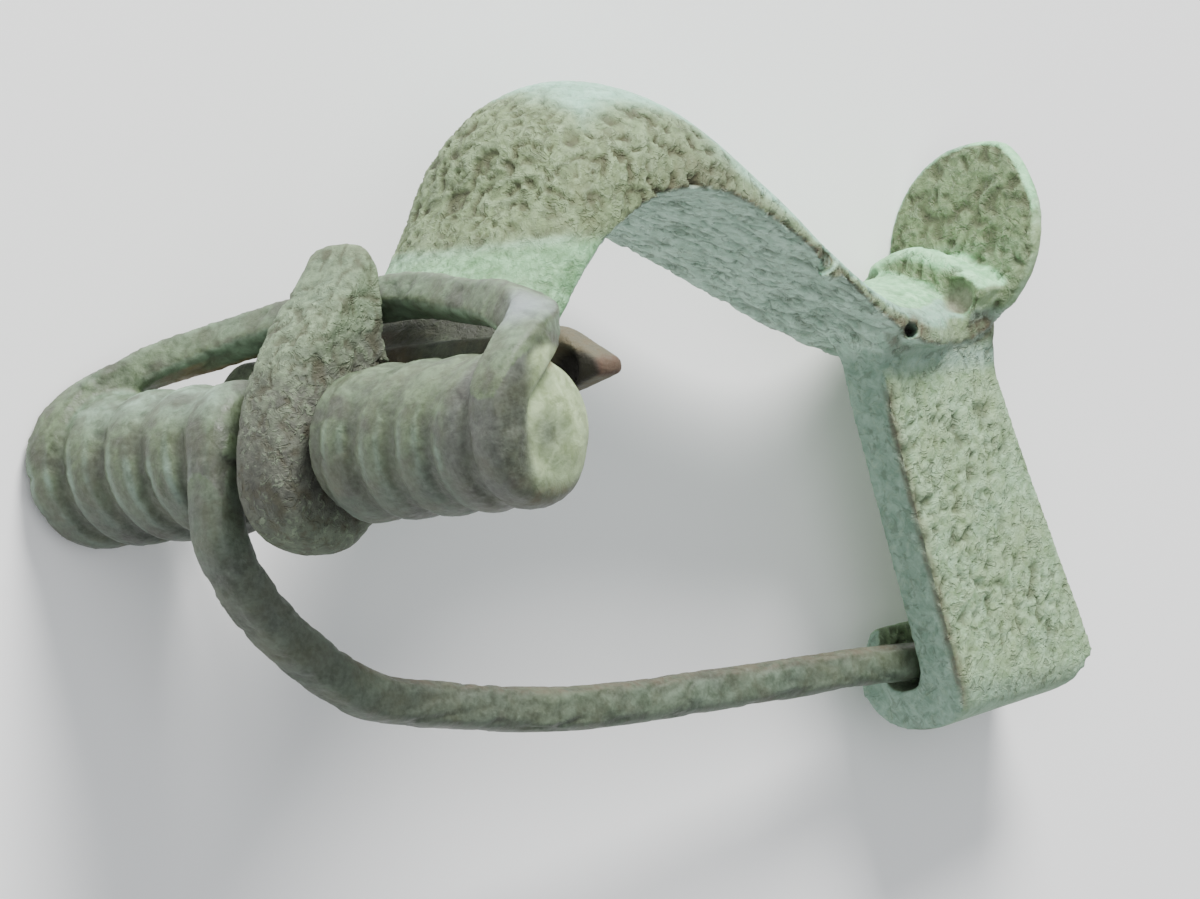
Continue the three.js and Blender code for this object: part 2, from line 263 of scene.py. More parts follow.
def ball(centre, radii, count=24):
    """An egg shape; its poles are on Z."""
    rings = []
    for phi in np.linspace(0.05, np.pi - 0.05, count):
        theta = np.linspace(0, 2 * np.pi, 2 * count, endpoint=False)
        x, y = np.sin(phi) * np.cos(theta), np.sin(phi) * np.sin(theta)
        rings.append(np.stack([x, y, -np.cos(phi) + 0 * theta], -1))
    return loft(np.array(rings) * np.asarray(radii, float) + np.asarray(centre, float))


def merged(name, shapes):
    """One mesh object from several closed shapes, in millimetres for now."""
    verts, faces, base = [], [], 0
    for points, quads in shapes:
        verts.append(points)
        faces += [tuple(v + base for v in face) for face in quads]
        base += len(points)
    mesh = bpy.data.meshes.new(name)
    mesh.from_pydata(np.vstack(verts).tolist(), [], faces)
    obj = bpy.data.objects.new(name, mesh)
    bpy.context.collection.objects.link(obj)
    return obj


def fuse(obj, voxel):
    """Fuses overlapping shapes into one even skin, with faces about as wide as voxel."""
    made = obj.modifiers.new("fuse", "REMESH")
    made.mode = "VOXEL"
    made.voxel_size = voxel
    graph = bpy.context.evaluated_depsgraph_get()
    mesh = bpy.data.meshes.new_from_object(obj.evaluated_get(graph))
    obj.modifiers.clear()
    old = obj.data
    obj.data = mesh
    bpy.data.meshes.remove(old)


def points_of(obj):
    out = np.empty(len(obj.data.vertices) * 3)
    obj.data.vertices.foreach_get("co", out)
    return out.reshape(-1, 3)


def put_points(obj, points):
    obj.data.vertices.foreach_set("co", np.ascontiguousarray(points, float).ravel())
    obj.data.update()


def normals_of(obj):
    out = np.empty(len(obj.data.vertices) * 3)
    obj.data.vertex_normals.foreach_get("vector", out)
    return out.reshape(-1, 3)


class Skin:
    """A fine mesh that is smoothed and pushed about as arrays of points."""

    def __init__(self, obj):
        self.obj = obj
        self.points = points_of(obj)
        edges = np.empty(len(obj.data.edges) * 2, dtype=np.int64)
        obj.data.edges.foreach_get("vertices", edges)
        self.edges = edges.reshape(-1, 2)
        self.degree = np.bincount(self.edges.ravel(), minlength=len(self.points))[:, None]

    def blur(self, values):
        """For each point, the mean of its neighbours' values."""
        a, b = self.edges[:, 0], self.edges[:, 1]
        out = np.empty_like(values)
        count = len(values)
        for k in range(values.shape[1]):
            out[:, k] = np.bincount(a, values[b, k], count) + np.bincount(b, values[a, k], count)
        return out / self.degree

    def smooth(self, rounds, share=None):
        """Rounds the surface without shrinking it; share says how much, point by point."""
        share = 1.0 if share is None else share[:, None]
        for _ in range(rounds):
            self.points += 0.5 * share * (self.blur(self.points) - self.points)
            self.points -= 0.52 * share * (self.blur(self.points) - self.points)

    def round_off(self, rounds, share=None):
        """Rounds the surface and shrinks it a little."""
        share = 1.0 if share is None else share[:, None]
        for _ in range(rounds):
            self.points += 0.5 * share * (self.blur(self.points) - self.points)

    def normals(self):
        put_points(self.obj, self.points)
        return normals_of(self.obj)

    def push(self, height):
        """Moves each point along its normal, in millimetres."""
        self.points += self.normals() * height[:, None]

    def finish(self, marks):
        """Writes the points back in metres, lying as the CAD does, with the marks that materials read."""
        turn, place = np.array(TO_ROW.to_3x3()), np.array(TO_ROW.translation)
        put_points(self.obj, self.points * MM @ turn.T + place)
        for name, values in marks.items():
            layer = self.obj.data.attributes.new(name, "FLOAT", "POINT")
            layer.data.foreach_set("value", np.ascontiguousarray(values, np.float32))
        for polygon in self.obj.data.polygons:
            polygon.use_smooth = True


# ---------------------------------------------------------------- the bow

BOW_VOXEL = 0.16
LUG_HALF = 2.05
WING_X, WING_HALF = 4.41, 0.79
PLATE_NEAR, PLATE_FAR = -1.3, 1.0
# Both ends of the catch plate lean; each slope is millimetres of X for each millimetre down.
PLATE_FRONT, FRONT_SLOPE = 34.35, 0.24
PLATE_REAR, REAR_SLOPE = 41.9, 0.36
DISC_RADIUS, DISC_HALF, DISC_SQUEEZE = 4.45, 0.45, 0.94
DISC_LEAN = 0.25
DISC_CORNER, CORNER_REACH = math.radians(116), 0.5
DISC_PLACE = (42.2, 0.1, 6.75)
COLLAR_X, COLLAR_HALF, COLLAR_BOTTOM = 40.6, 0.95, 2.4
KNOB = (28.2, -4.1, 5.65)


def cut_near_side(points, near_face):
    """Keeps the end of the foot from standing out past the catch plate on the near side."""
    x, y, z = points[..., 0], points[..., 1], points[..., 2]
    limit = near_face - 0.85 * np.clip(z - 3.1, 0, 1.6)
    share = step(37.2, 39.2, x)
    return np.stack([x, y + (np.maximum(y, limit) - y) * share, z], -1)


def bow_band():
    """The humped band, flat underneath; far_shifts and far_rises turn its foot to the far side."""
    under = [(4.9, 0, 1.2), (7.3, 0, 2.5), (9.5, 0, 4.3), (11.5, 0, 6.5), (13.7, 0, 8.2),
             (16.6, 0, 9.35), (20.2, 0, 9.35), (24.4, 0, 7.75), (28.6, 0, 5.5), (32.5, 0, 3.3),
             (36.0, 0, 2.0), (39.0, 0, 2.0), (42.2, 0, 2.4)]
    ridge = [(4.4, 0, 3.7), (5.8, 0, 5.3), (8.1, 0, 7.5), (10.0, 0, 9.9), (11.6, 0, 12.9), (14.9, 0, 14.75),
             (19.2, 0, 14.2), (24.5, 0, 10.35), (28.6, 0, 6.95), (32.7, 0, 4.8), (36.2, 0, 3.75),
             (39.2, 0, 3.6), (42.0, 0, 3.7)]
    half_widths = [5.2, 5.4, 5.5, 5.5, 5.6, 5.6, 5.5, 5.0, 4.3, 3.5, 3.0, 2.8, 2.4]
    far_shifts = [0, 0, 0, 0, 0, 0, 0, 0, 0, 0.05, 0.3, 0.8, 1.3]
    far_rises = [0, 0, 0, 0, 0, 0, 0, 0, 0.1, 0.7, 1.9, 2.4, 2.4]
    edge_shares = [0.3, 0.25, 0.2, 0.15, 0.12, 0.12, 0.16, 0.25, 0.35, 0.4, 0.4, 0.4, 0.4]
    t = np.linspace(0, 1, 220)
    low, high = spline(under, t), spline(ridge, t)
    width, edge = along(half_widths, t), along(edge_shares, t)
    shift, rise = along(far_shifts, t), along(far_rises, t)
    angle = np.linspace(0, np.pi, 40)
    across = np.cos(angle)
    rings = []
    for i in range(len(t)):
        lift = edge[i] + (1 - edge[i]) * np.sin(angle)
        above = low[i] + (high[i] - low[i]) * lift[:, None]
        above[:, 1] = across * width[i] + shift[i]
        above[:, 2] += rise[i] * (across + 1) / 2
        flat = np.linspace(-1, 1, 14)
        below = np.repeat(low[i][None, :], len(flat), axis=0)
        below[:, 1] = flat * width[i] + shift[i]
        rings.append(np.vstack([above, below]))
    return loft(cut_near_side(np.array(rings), -1.65))


def outline_of(points, count, closed_with=()):
    """A smooth outline in two dimensions, closed by straight stretches through the last points."""
    smooth = spline([(x, z, 0) for x, z in points], np.linspace(0, 1, count))[:, :2]
    straight = [smooth[-1]] + [np.array(p) for p in closed_with] + [smooth[0]]
    rest = []
    for a, b in zip(straight[:-1], straight[1:]):
        steps = max(2, int(np.linalg.norm(b - a) / 0.25))
        rest += [a + (b - a) * k / steps for k in range(1, steps + 1)]
    return np.vstack([smooth, np.array(rest)[:-1]])


def inset(outline, depth):
    """The outline moved inwards by depth."""
    forward = np.roll(outline, -1, axis=0) - np.roll(outline, 1, axis=0)
    forward /= np.maximum(np.linalg.norm(forward, axis=1, keepdims=True), 1e-9)
    normal = np.stack([forward[:, 1], -forward[:, 0]], -1)
    area = np.sum(outline[:, 0] * np.roll(outline[:, 1], -1) - outline[:, 1] * np.roll(outline[:, 0], -1))
    return outline - normal * depth * np.sign(area)


def lug():
    """The lug in the middle of the spring, with worn edges and a narrower top."""
    points = [(2.9, 6.2), (3.05, 7.5), (2.3, 8.5), (1.5, 7.6), (0.6, 6.5), (-0.9, 5.1), (-2.1, 3.8),
              (-3.2, 1.6), (-3.7, -1.3), (-2.9, -3.25), (-1.2, -4.2), (0.3, -4.3), (1.6, -3.5),
              (2.8, -2.0), (4.4, 0.2)]
    outline = outline_of(points, 150, ((4.4, 2.4), (2.7, 2.6), (2.5, 4.2), (2.9, 5.0)))
    x, z = outline[:, 0], outline[:, 1]
    roundness = 1.5 - 1.1 * step(3.5, 6.0, z) - 0.9 * step(0.5, 2.5, x) * (1 - step(3.5, 6.0, z))
    rings = []
    for u in np.linspace(-1, 1, 21):
        over = max(0.0, (abs(u) - 0.3) / 0.7)
        depth = 1 - math.sqrt(1 - over ** 2)
        share = roundness * min(depth, 0.92)
        shape = outline - (outline - inset(outline, 1.0)) * share[:, None]
        narrowing = 1 - 0.08 * np.maximum(0, shape[:, 1] - 6)
        cut = 0.4 * (1 - step(3.5, 5.0, shape[:, 1])) * max(0.0, -u)
        rings.append(np.stack([shape[:, 0], LUG_HALF * u * narrowing + cut, shape[:, 1]], -1))
    return loft(rings)


def wings():
    """The bar behind the spring, with a tongue at each end."""
    y_stations = [-13.1, -12.0, -10.2, -7, 0, 6.5, 8.5, 9.7, 11.3]
    tops = [2.5, 3.2, 4.1, 4.0, 4.0, 4.0, 4.0, 3.1, 1.9]
    bottoms = [1.9, 1.6, 1.2, 0.9, 0.8, 0.9, 1.0, 1.1, 1.2]
    t = np.linspace(0, 1, 120)
    y, top, bottom = along(y_stations, t), along(tops, t), along(bottoms, t)
    angle = np.linspace(0, 2 * np.pi, 32, endpoint=False)
    reach = reach_of(angle, 5)
    rings = []
    for i in range(len(t)):
        x = WING_X + WING_HALF * reach * np.cos(angle)
        z = (top[i] + bottom[i]) / 2 + (top[i] - bottom[i]) / 2 * reach * np.sin(angle)
        rings.append(np.stack([x, y[i] + 0 * x, z], -1))
    return loft(rings)


def catch_plate():
    """The plate under the foot; its section runs down the near face, round the lip and back up."""
    down = [(PLATE_NEAR, z) for z in np.linspace(3.2, -13.6, 60)]
    under = spline([(PLATE_NEAR, -13.6, 0), (-0.9, -14.6, 0), (0.2, -15.1, 0), (2.2, -15.3, 0),
                    (4.0, -14.7, 0), (4.9, -13.3, 0), (4.6, -10.8, 0)], np.linspace(0, 1, 50))[1:, :2]
    lip = [(4.4, -10.6), (4.0, -10.5)]
    trough = spline([(3.8, -10.5, 0), (3.65, -12.4, 0), (3.1, -13.2, 0), (2.2, -13.45, 0), (1.3, -13.1, 0),
                     (PLATE_FAR, -12, 0)], np.linspace(0, 1, 30))[:, :2]
    up = [(PLATE_FAR, z) for z in np.linspace(-11.7, 3.2, 50)]
    section = np.vstack([down, under, lip, trough, up])
    y, z = section[:, 0], section[:, 1]
    drop = np.maximum(0, -z)
    lip_cut = np.where(y > 3.2, 0.45 * np.maximum(0, z + 13.2), 0)
    fillet = 0.16 * np.maximum(0, z) ** 2
    front = PLATE_FRONT + FRONT_SLOPE * np.maximum(0, drop - 1) + lip_cut - fillet
    corner = np.maximum(0, drop - 12.9)
    rear = PLATE_REAR + REAR_SLOPE * drop - 0.55 * corner ** 2
    rings = []
    for t in np.linspace(0, 1, 40):
        x = front + (rear - front) * t
        flare = step(0.6, 2.6, z) ** 2 * (1.1 - 0.9 * step(36, 40, x)) * (y < 0)
        rings.append(np.stack([x, y - flare, z + 0.055 * drop * t], -1))
    return loft(rings)


def foot_disc():
    """The leaning disc on the foot, with a rounded rim and a slight corner."""
    rim = [(1.0, 1), (0.35, 1), (0.12, 0.85), (0.02, 0.5)]
    rings = []
    for depth, across in [(depth, -across) for depth, across in rim] + [(0, 0)] + rim[::-1]:
        angle = np.linspace(0, 2 * np.pi, 96, endpoint=False)
        corner = 0.32 * np.maximum(0, 1 - np.abs(angle - DISC_CORNER) / CORNER_REACH)
        r = DISC_RADIUS - depth + corner
        x = across * DISC_HALF + 0 * angle
        rings.append(np.stack([x, r * np.cos(angle), r * np.sin(angle)], -1))
    rings = np.array(rings) * np.array([DISC_SQUEEZE, 1, 1])
    turned = np.empty_like(rings)
    turned[..., 0] = rings[..., 0] * math.cos(DISC_LEAN) + rings[..., 2] * math.sin(DISC_LEAN)
    turned[..., 1] = rings[..., 1]
    turned[..., 2] = -rings[..., 0] * math.sin(DISC_LEAN) + rings[..., 2] * math.cos(DISC_LEAN)
    return loft(turned + np.array(DISC_PLACE))


def collar():
    """The moulding across the foot: a rounded wall, highest on the far side."""
    stations = [(-3.1, 4.1), (-2.6, 4.7), (-1.5, 5.4), (-0.1, 6.1), (1.7, 6.6), (3.2, 6.4),
                (4.2, 6.0), (4.6, 5.2)]
    crest = spline([(0, y, z) for y, z in stations], np.linspace(0, 1, 60))
    angle = np.linspace(0, 2 * np.pi, 40, endpoint=False)
    reach = reach_of(angle, 2.6)
    rings = []
    for _, y, top in crest:
        x = COLLAR_X + COLLAR_HALF * reach * np.cos(angle)
        z = (top + COLLAR_BOTTOM) / 2 + (top - COLLAR_BOTTOM) / 2 * reach * np.sin(angle)
        rings.append(np.stack([x, y + 0 * x, z], -1))
    return loft(cut_near_side(np.array(rings), -1.8))


def near_to(points, centre, radius):
    """1 at the centre, falling to 0 at that distance."""
    distance = np.linalg.norm(points - np.asarray(centre, float), axis=1)
    return 1 - step(0, radius, distance)


def dent(skin, centre, way, radius, depth, flat):
    """A round dent in the surface that faces way; flat is the share of it with an even floor.

    Returns where it is, from 0 to 1.
    """
    way = np.asarray(way, float) / np.linalg.norm(way)
    away = skin.points - np.asarray(centre, float)
    height = away @ way
    aside = np.linalg.norm(away - height[:, None] * way, axis=1)
    inside = (1 - step(radius * flat, radius, aside)) * (np.abs(height) < 1.2 + depth)
    inside = inside * (skin.normals() @ way > 0.1)
    skin.points -= way * (inside * depth)[:, None]
    return inside


knob = ball(KNOB, (0.6, 0.5, 0.5))
bow = merged("brooch_bow", [bow_band(), lug(), wings(), catch_plate(), foot_disc(), collar(), knob])
fuse(bow, BOW_VOXEL)
skin = Skin(bow)
skin.round_off(3)
skin.smooth(4)
skin.smooth(12, step(30.0, 32.0, skin.points[:, 0]) * step(1.8, 2.6, skin.points[:, 2]))

# Damage: the recess on the collar, the small hole at the foot, a notch beside the knob and the
# hollow under the near wing's tip.
recess = dent(skin, (39.66, -1.35, 4.08), (-0.85, -0.45, 0.25), 0.9, 0.55, 0.6)
pinhole = dent(skin, (34.4, -3.0, 2.72), (-0.65, -0.75, 0.0), 0.38, 1.3, 0.35)
notch = dent(skin, (27.68, -4.36, 6.05), (-0.5, -0.6, 0.4), 0.5, 0.5, 0.2)
hollow = dent(skin, (3.62, -11.1, 2.35), (-1, -0.1, 0), 1.0, 0.6, 0.4)

# Where things are, as shares from 0 to 1: the parts of the casting, then kinds of surface.
# p, x, y and z follow the points when they are pushed; the noises stay as they were before.
p = skin.points
n = skin.normals()
x, y, z = p[:, 0], p[:, 1], p[:, 2]
wander = layers(p, 3.2, 5)
flecks = layers(p, 1.3, 9, 2)
on_plate = step(2.4, 1.5, z) * step(31.5, 32.5, x)
is_lug = step(3.1, 2.8, x) * (np.abs(y) < 2.6)
is_wing = step(5.4, 5.1, x) * (1 - is_lug)
is_disc = step(41.5, 41.8, x + 0.25 * (z - 6.5)) * step(3.6, 4.2, z)
is_collar = step(39.3, 39.7, x) * (1 - is_disc) * step(3.0, 3.6, z)
on_band = (1 - on_plate) * (1 - is_lug) * (1 - is_wing) * (1 - is_disc) * (1 - is_collar)
# The band's flat underneath; besides its streaks, the material paints it paler, as painted light.
underside = on_band * step(-0.35, -0.6, n[:, 2] + 0.25 * np.minimum(0, n[:, 0]))
side_edge = on_band * step(0.55, 0.85, np.abs(n[:, 1])) * step(14, 17, x)
side_edge = side_edge * step(37, 35, x) * (1 - underside)
outside = on_band * (1 - underside)
edge_of_pits = 13.6 + 1.6 * np.maximum(0, 12.6 - z) * (y < 0) + 1.3 * wander
pitted = outside * step(1.0, -1.0, x - edge_of_pits) * step(7.4, 8.4, z + 0.3 * wander)
near_rim = outside * step(0.5, 0.8, -n[:, 1]) * step(24, 18, x) * step(7.8, 8.6, z)
pitted = np.maximum(pitted, 0.9 * near_rim)
near_face = on_plate * step(-0.6, -0.9, n[:, 1])
plate_front = on_plate * step(-0.5, -0.8, n[:, 0])
disc_face = is_disc * step(-0.7, -0.9, n[:, 0])
wall_front = is_collar * step(-0.3, -0.7, n[:, 0]) * (1 - recess)
edge_line = on_band * step(0.4, 0.75, np.abs(n[:, 1])) * step(-0.05, -0.4, n[:, 2]) * step(13, 15, x)

# Corrosion of each part: a net of ridges and pits, and how strong it is from place to place.
hump_ridges, hump_pits = crust(p, 0.64, 31)
hump_strong = step(-0.5, 0.35, noise(p, 4.0, 8) + 0.1 * (z - 10))
plate_ridges, plate_pits = crust(p * np.array([1.15, 1.0, 0.9]), 0.62, 61)
behind_front = x - PLATE_FRONT - FRONT_SLOPE * np.maximum(0, -z - 1)
before_rear = PLATE_REAR - REAR_SLOPE * np.minimum(0, z) - x
plate_strong = step(-13.0, -11.0, z + 0.5 * wander) * step(0.6, -0.9, z) * step(-0.7, 0.1, wander)
plate_strong *= step(0.3, 1.5, before_rear + 0.3 * wander)
disc_ridges, disc_pits = crust(p, 0.75, 91)
lug_ridges, lug_pits = crust(p * np.array([1.2, 1.2, 0.9]), 0.7, 121)
front_line = on_plate * step(0.6, 0.2, behind_front + 0.25 * flecks)
front_line = front_line * step(-0.8, -1.1, y) * step(0.8, -0.2, z)
streaks = worms(p * np.array([0.5, 1.3, 1.0]), 0.95, 83, 0.2)
crumbs = layers(p, 0.6, 71, 2)

# Relief, in millimetres.
height = 0.04 * layers(p, 2.6, 3) + 0.012 * crumbs
height += pitted * (0.35 + 0.65 * hump_strong) * (0.1 * hump_ridges - 0.13 * hump_pits)
height += outside * (1 - pitted) * (0.03 * hump_ridges - 0.05 * hump_pits) * step(22, 14, x)
height += near_face * (0.12 + 0.88 * plate_strong) * (0.12 * plate_ridges - 0.14 * plate_pits)
height += plate_front * 0.03 * crumbs
foot_top = outside * step(31, 34, x) + is_collar * (1 - wall_front) * (1 - recess)
height += foot_top * (0.03 * disc_ridges - 0.04 * disc_pits)
height += disc_face * (0.07 * disc_ridges - 0.08 * disc_pits)
height += wall_front * (0.05 * disc_ridges - 0.13 * disc_pits)
lug_relief = is_lug * (0.05 * lug_ridges - 0.08 * lug_pits)
height += lug_relief * (0.3 + 0.7 * step(0.0, 3.5, z)) * (1 - 0.8 * step(6.2, 7.4, z))
height -= underside * (0.12 * streaks + 0.05 * hump_pits)
height -= (side_edge + edge_line) * (0.12 * hump_pits + 0.08 * np.abs(crumbs))
height -= front_line * (0.14 * step(-0.1, 0.4, noise(p, 1.1, 91)) + 0.08 * np.abs(crumbs))
skin.push(height)

# Marks that the material reads: relief first, then patches of colour, painted shade and painted light among
# them.
raised = pitted * hump_ridges * (0.4 + 0.6 * hump_strong)
raised += near_face * plate_ridges * (0.4 + 0.6 * plate_strong)
raised += (disc_face + wall_front) * disc_ridges * 0.5
raised = np.clip(raised + is_lug * lug_ridges * 0.6 * step(-1.5, 4, z), 0, 1)
raised = np.maximum(raised, near_to(p, (28.2, -4.6, 5.6), 0.8))
grooves_and_painted_shade = pitted * hump_pits * (0.45 + 0.55 * hump_strong)
grooves_and_painted_shade += near_face * plate_pits * (0.3 + 0.5 * plate_strong)
grooves_and_painted_shade += (disc_face + wall_front) * disc_pits * 0.8 + is_lug * lug_pits * 0.8
grooves_and_painted_shade += side_edge * hump_pits * 0.6 + underside * (0.65 * streaks + 0.15 * hump_pits)
grooves_and_painted_shade += outside * (1 - pitted) * 0.22 * hump_pits
grooves_and_painted_shade += edge_line * step(18, 15, x) * step(-0.3, 0.3, flecks) * 0.7
# Painted shade: the notch and the upper inside wall of the recess are darkened.
grooves_and_painted_shade = np.maximum(grooves_and_painted_shade, np.maximum(0.5 * notch, recess * step(4.35, 4.75, z) * 0.7))
grooves_and_painted_shade = np.clip(grooves_and_painted_shade, 0, 1)
rough = pitted + near_face + disc_face + wall_front + is_lug * step(7.4, 6.2, z) + side_edge
rough += underside + 0.7 * plate_front + 0.45 * outside * (1 - pitted)
rough = np.clip(rough, 0, 1) * (1 - recess)
olive = np.clip(pitted + disc_face + wall_front * 0.8, 0, 1)
mint = outside * step(8.0, 7.4, z + 0.2 * wander) * step(14, 12, x)
mint = mint * (0.65 + 0.35 * step(2.0, -1.0, y + wander))
saddle_edge = -2.75 + 0.38 * np.clip(x - 33.5, 0, 6) + 0.35 * flecks
on_saddle = outside * step(31, 35, x) * step(0.2, 0.5, n[:, 2]) * step(-0.15, 0.15, y - saddle_edge)
mint = np.maximum(mint, on_saddle)
mint = np.maximum(mint, is_disc * step(0.15, 0.5, n[:, 2] + 0.2 * wander) * (1 - disc_face))
mint = np.maximum(mint, is_collar * step(0.25, 0.6, n[:, 2] + 0.2 * flecks))
mint = np.clip(mint * (1 - recess), 0, 1)
chalk = mint * step(30, 33, x) * step(-0.5, 0.3, flecks + 0.3)
# Painted light: faces of the band that turn upwards are made paler, as if lit from above.
painted_top_light = outside * (1 - mint) * (1 - pitted) * step(0.1, 0.5, n[:, 2])
# Painted shade: a cool, bluish tone on faces turned from the light: the band's underside, the plate's
# front, the bottom of the catch plate and its top under the band, and the far side of the disc's rim.
painted_cool_shade = underside + plate_front + 0.5 * on_plate * step(-12.6, -13.8, z) + on_plate * step(0.4, 1.4, z)
painted_cool_shade = np.clip(painted_cool_shade + 0.7 * is_disc * (1 - disc_face) * (y > 0), 0, 1)
brown = side_edge * step(0.3, -0.3, 0.6 * n[:, 2] + 0.5 * wander) + edge_line * 0.8 + front_line * 0.9
brown += near_rim * step(-0.1, 0.5, flecks) * 0.4 + is_wing * step(0.3, -0.2, wander)
brown += near_to(p, (34.6, -2.9, 2.9), 1.9) * step(-0.3, 0.3, flecks) * 0.8
brown += outside * step(32, 34, x) * step(0.1, -0.3, y - saddle_edge) * 0.3
brown += step(3.3, 2.9, x) * (z > 7.9) * 0.3
brown = np.clip(brown, 0, 1)
tongue_tip = is_wing * step(-12.5, -13.0, y)
in_gap = is_wing * step(-9.8, -9.2, y) * step(3.6, 2.4, y)
# Dark patina on the lug, darker towards the bottom and a little lighter again at the very bottom; painted
# shade on the whole wing bar behind the spring, in the hollow under the near tongue, in the catch plate's
# trough and on the band's front under the chord.
painted_shade_and_patina = is_lug * (0.7 + 0.3 * step(5.5, 2.0, z + 1.0 * wander) - 0.2 * step(-1.5, -4.0, z))
painted_shade_and_patina = painted_shade_and_patina + is_wing + hollow + in_gap
in_trough = 0.8 * on_plate * step(1.0, 1.4, y) * step(-9.8, -10.8, z) * step(0.3, -0.1, n[:, 1])
painted_shade_and_patina += in_trough * (1 - plate_front)
painted_shade_and_patina += outside * step(8.5, 6.5, x) * step(6.0, 5.2, z)
painted_shade_and_patina = np.clip(painted_shade_and_patina * (1 - 0.5 * tongue_tip), 0, 1)
# Painted shadow, nearly black: inside the pinhole, in the gap behind the chord, in the hollow under the
# near tongue, on the band's front under the chord and, through the shade ellipse, on the near tongue's
# hollow front.
shade = np.hypot((y + 11.7) / 1.5, (z - 2.15) / 0.8 + 0.3 * wander)
shade = is_wing * step(1.1, 0.8, shade) * step(-0.2, -0.5, n[:, 0]) * (y < -9.8)
painted_deep_shadow = pinhole + 0.35 * in_gap + 0.5 * hollow + 0.7 * outside * step(8, 7, x) * step(5.6, 4.9, z)
painted_deep_shadow = np.clip(painted_deep_shadow + 0.85 * shade, 0, 1)
purple = is_lug * step(4.0, 1.6, z + 0.8 * wander - 0.4 * (x + 3)) * (0.5 + 0.5 * step(-4.0, -1.5, z))
skin.finish({"groove": grooves_and_painted_shade, "raised": raised, "rough": rough, "recess": recess, "painted_underside_light": underside,
             "tip": tongue_tip, "painted_light": painted_top_light, "mint": mint, "chalk": chalk, "olive": olive,
             "painted_cool_shade": painted_cool_shade, "brown": brown, "purple": purple, "painted_shade_and_patina": painted_shade_and_patina, "painted_deep_shadow": painted_deep_shadow})

# ---------------------------------------------------------------- spring, pin and chord

WIRE_VOXEL = 0.15
WIRE = 1.04
COIL_RADIUS = 2.25
COIL_OUTSIDE = 3.45
FAR_COIL, FAR_PITCH, FAR_TURNS = 3.9, 2.5, 4
NEAR_COIL, NEAR_PITCH, NEAR_TURNS = -12.9, 2.2, 4.5


def coil(start, pitch, turns, way):
    """Turns of wire whose sides touch; way is 1 or -1, for the hand of the helix."""
    t = np.linspace(0, turns, int(turns * 60))
    angle = np.pi - way * 2 * np.pi * t
    path = np.stack([COIL_RADIUS * np.cos(angle), start + pitch * t, COIL_RADIUS * np.sin(angle)], -1)
    outward = np.stack([np.cos(angle), 0 * angle, np.sin(angle)], -1)
    width = pitch / 2 + 0.02
    return tube(path, width, outward, square=2.7, flat=WIRE / width)


def from_groove(x, y, z, start, pitch, way):
    """0 in the groove between two turns of a coil and 1 on top of a turn."""
    turn = np.arctan2(z, -x) / (2 * np.pi)
    return np.abs(np.mod((y - start) / pitch + way * turn, 1) - 0.5) * 2


def sleeve(low, high, outer):
    """Corrosion that half fills the grooves between turns: a short pipe round the axis."""
    angle = np.linspace(0, 2 * np.pi + 0.1, 90)
    middle, half = outer - 0.45, (high - low) / 2
    path = np.stack([middle * np.cos(angle), (low + high) / 2 + 0 * angle, middle * np.sin(angle)], -1)
    outward = np.stack([np.cos(angle), 0 * angle, np.sin(angle)], -1)
    return tube(path, half, outward, square=6, sides=40, flat=0.45 / half)


# The pin runs from its point to the far coil, and the chord from that coil's end to the near one's.
PIN = [(44.0, 2.3, -12.2), (34.8, 2.5, -12.1), (25.6, 2.8, -12.25), (16.2, 3.15, -12.2),
       (9.4, 3.45, -11.4), (4.85, 3.6, -10.5), (1.3, 3.7, -8.3), (-1.3, 3.75, -5.7),
       (-2.5, 3.8, -3.2), (-2.25, 3.9, 0), (-2.08, 4.06, 0.86)]
CHORD = [(-2.25, 13.9, 0), (-1.95, 13.9, 1.6), (-0.6, 13.3, 3.1), (1.4, 11.6, 4.15), (3.5, 8.0, 5.05),
         (4.35, 3.0, 5.8), (4.35, -2.1, 6.05), (3.3, -6.4, 5.5), (2.2, -10.0, 4.95),
         (0.9, -12.3, 4.1), (-0.8, -13.1, 3.1), (-2.1, -13.05, 1.6), (-2.25, -12.9, 0)]

pin_path = even_path(PIN, 240)
pin_share = np.linspace(0, 1, 240)
pin = tube(pin_path, 0.75 + 0.33 * np.sqrt(pin_share), (0, 1, 0), square=3.0)
chord_path = even_path(CHORD, 220)
chord_outward = chord_path * np.array([1, 0, 1])
share = np.linspace(0, 1, 220)
thinning = step(0, 0.12, share) - step(0.68, 0.8, share)
chord_radius = WIRE - 0.22 * thinning - 0.1 * step(0.92, 1.0, share)
chord = tube(chord_path, chord_radius, chord_outward, square=7.0)
bulge = ball((0.9, -12.2, 4.0), (1.25, 1.15, 1.1))
cap = ball((0.25, -12.55, 0), (2.85, 1.15, 2.85))
far_coil = coil(FAR_COIL, FAR_PITCH, FAR_TURNS, 1)
near_coil = coil(NEAR_COIL, NEAR_PITCH, NEAR_TURNS, -1)
spring = merged("brooch_spring", [pin, chord, far_coil, near_coil, cap, bulge,
                                  sleeve(4.0, 13.6, 3.02), sleeve(-12.6, -2.4, 3.14)])
fuse(spring, WIRE_VOXEL)
skin = Skin(spring)
p = skin.points
radial = np.hypot(p[:, 0], p[:, 2])
on_coil = (radial < COIL_OUTSIDE) * ((p[:, 1] > 2.8) + (p[:, 1] < -1.8))
skin.round_off(2)
skin.round_off(6, on_coil * 0.9 * step(-1.5, 2.0, p[:, 2]))
skin.round_off(3, on_coil * 0.7)
skin.smooth(2)

